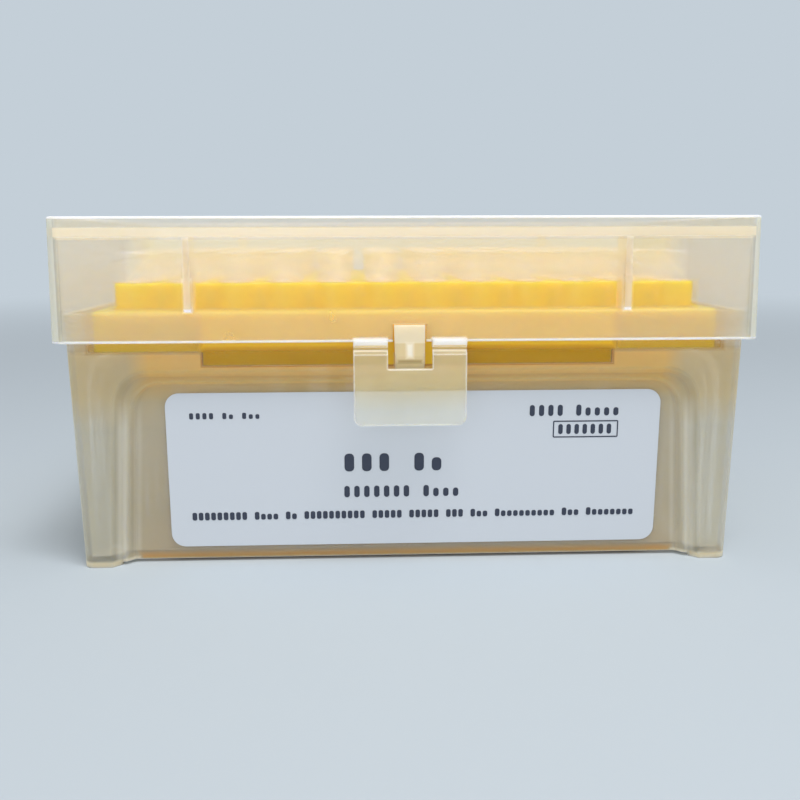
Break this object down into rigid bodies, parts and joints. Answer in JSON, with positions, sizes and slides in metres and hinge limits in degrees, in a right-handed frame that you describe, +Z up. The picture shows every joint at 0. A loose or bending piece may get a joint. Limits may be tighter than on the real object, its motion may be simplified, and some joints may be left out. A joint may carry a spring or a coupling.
{
  "type": "pipette tip box",
  "caption": "Hinged translucent box with a flip latch, holding a yellow rack of pipette tips on a regular grid.",
  "frame": {"origin": "on the table, in the middle of the base's underside", "axes": "+Z up, -Y towards the latch and label, +Y towards the lid's hinge, +X to the right"},
  "size_m": [0.1252, 0.0926, 0.0633],
  "materials": {
    "frosted_plastic": "natural translucent polypropylene, satin, cream tint",
    "yellow_plastic": "yellow moulded polypropylene, satin",
    "tip_plastic": "clear natural polypropylene, smooth",
    "label_paper": "white coated label paper with dark print"
  },
  "bodies": {
    "base_body": {"base": "frosted_plastic", "tip_rack": "yellow_plastic", "label": "label_paper", "tip_column_01": "tip_plastic", "tip_column_02": "tip_plastic", "tip_column_03": "tip_plastic", "tip_column_04": "tip_plastic", "tip_column_05": "tip_plastic", "tip_column_06": "tip_plastic", "tip_column_07": "tip_plastic", "tip_column_08": "tip_plastic", "tip_column_09": "tip_plastic", "tip_column_10": "tip_plastic", "tip_column_11": "tip_plastic", "tip_column_12": "tip_plastic"},
    "lid_body": {"lid": "frosted_plastic"},
    "latch_body": {"front_latch": "frosted_plastic"}
  },
  "joints": [
    {"name": "lid_hinge", "type": "hinge", "parent": "base_body", "child": "lid_body", "pos_m": [0, 0.04501, 0.04145], "axis": [-1, 0, 0], "range_deg": [0, 110]},
    {"name": "latch_hinge", "type": "hinge", "parent": "lid_body", "child": "latch_body", "pos_m": [0, -0.04414, 0.0405], "axis": [-1, 0, 0], "range_deg": [0, 90]}
  ]
}
